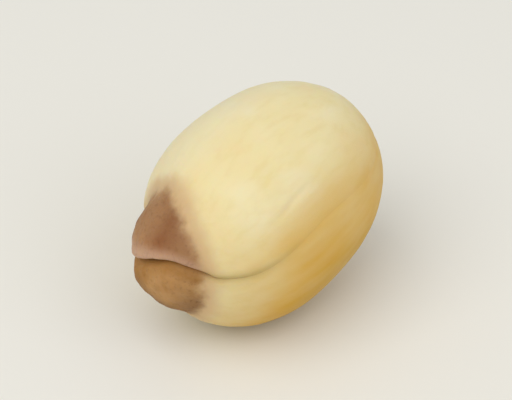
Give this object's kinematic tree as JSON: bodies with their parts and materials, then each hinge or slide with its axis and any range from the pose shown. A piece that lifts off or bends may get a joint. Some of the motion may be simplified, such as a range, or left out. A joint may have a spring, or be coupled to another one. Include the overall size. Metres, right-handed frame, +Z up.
{
  "type": "lotus seed",
  "caption": "Peeled lotus seed lying on its side: an egg-shaped kernel with a seam round it, a split, lobed brown tip and a dimpled base.",
  "frame": {"origin": "bottom centre of the bounding box, with z = 0 on the flat spot that the seed rests on", "axes": "+Z up; X along the seed's length, with its tip towards -X and a little down; the side whose seam shows in the picture faces -Y"},
  "size_m": [0.0186, 0.0128, 0.0143],
  "materials": {
    "peeled_kernel": "smooth and waxy, cream turning amber low down, with a brown tip"
  },
  "bodies": {
    "root": {"lotus_seed": "peeled_kernel"}
  },
  "joints": []
}
